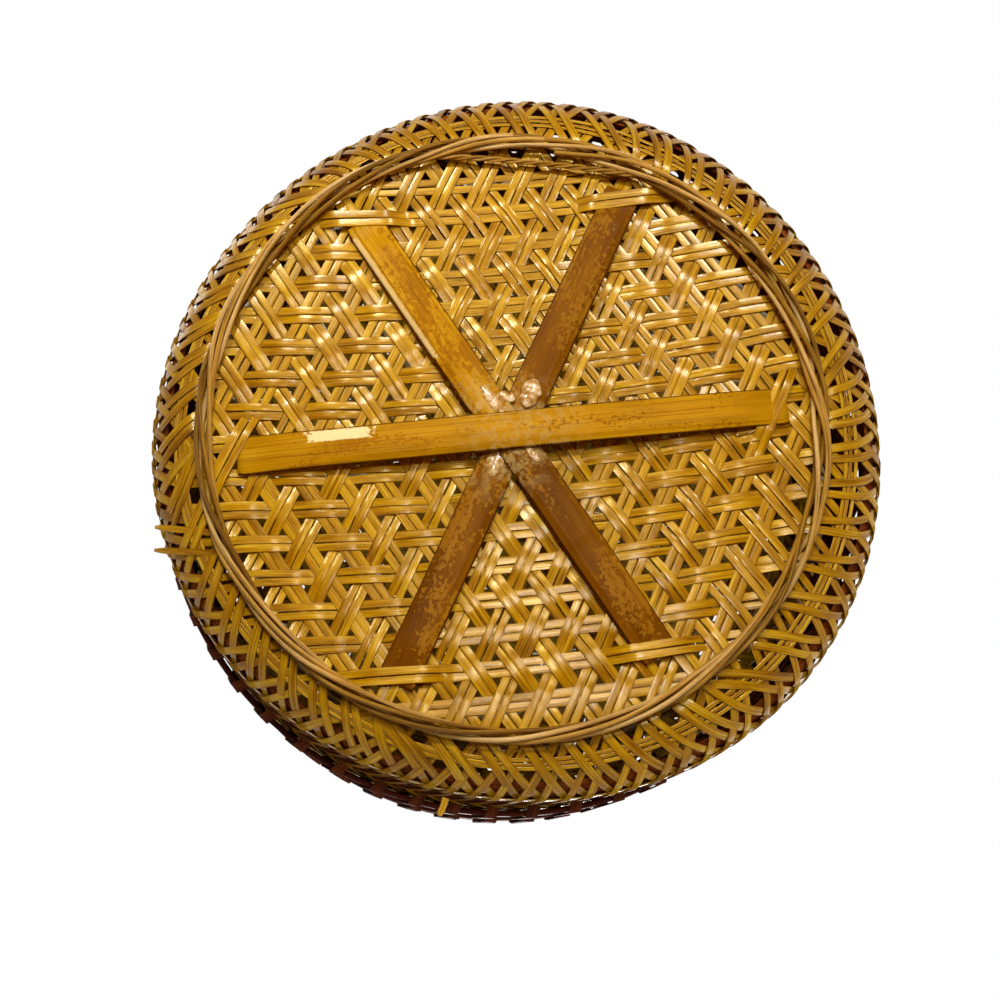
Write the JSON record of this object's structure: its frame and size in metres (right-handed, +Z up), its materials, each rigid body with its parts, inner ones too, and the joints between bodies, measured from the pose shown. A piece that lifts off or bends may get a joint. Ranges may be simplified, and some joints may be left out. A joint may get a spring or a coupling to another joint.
{
  "type": "tiered bamboo food basket",
  "caption": "Round food basket of woven bamboo tiers that nest one on another under a woven lid, each standing on a ring of twisted cane and braced by crossed slats.",
  "frame": {"origin": "centre of the lower tier's foot ring, on the surface that the basket stands on", "axes": "+Z up along the basket's axis; the outer slat under each tier runs about 6 degrees off the X axis"},
  "size_m": [0.3028, 0.3028, 0.1874],
  "materials": {
    "splint": "woven bamboo splints under glossy amber lacquer",
    "slat": "split bamboo slat, lacquered, worn in patches",
    "cane": "round cane, thinly lacquered, paler than the splints",
    "hoop": "bent bamboo hoop, stained red brown and lacquered",
    "lashing": "flat split cane binding, lacquered"
  },
  "bodies": {
    "lower_tier": {"lower_weave": "splint", "lower_flare_band": "splint", "lower_shoulder_band": "splint", "lower_foot_ring": "cane", "lower_slat_outer": "slat", "lower_slat_middle": "slat", "lower_slat_inner": "slat", "lower_hoop_outer": "hoop", "lower_hoop_inner": "hoop", "lower_rim_cane": "cane", "lower_rim_lashing": "lashing"},
    "upper_tier": {"upper_weave": "splint", "upper_flare_band": "splint", "upper_shoulder_band": "splint", "upper_foot_ring": "cane", "upper_slat_outer": "slat", "upper_slat_middle": "slat", "upper_slat_inner": "slat", "upper_hoop_outer": "hoop", "upper_hoop_inner": "hoop", "upper_rim_cane": "cane", "upper_rim_lashing": "lashing"},
    "lid": {"lid_weave": "splint", "lid_shoulder_band": "splint", "lid_hoop_outer": "hoop", "lid_hoop_inner": "hoop", "lid_rim_cane": "cane", "lid_rim_lashing": "lashing", "lid_locating_hoop": "hoop"}
  },
  "joints": [
    {"name": "upper_tier_lift", "type": "slide", "parent": "lower_tier", "child": "upper_tier", "axis": [0, 0, 1], "range_m": [0, 0.12]},
    {"name": "lid_lift", "type": "slide", "parent": "upper_tier", "child": "lid", "axis": [0, 0, 1], "range_m": [0, 0.1]}
  ]
}
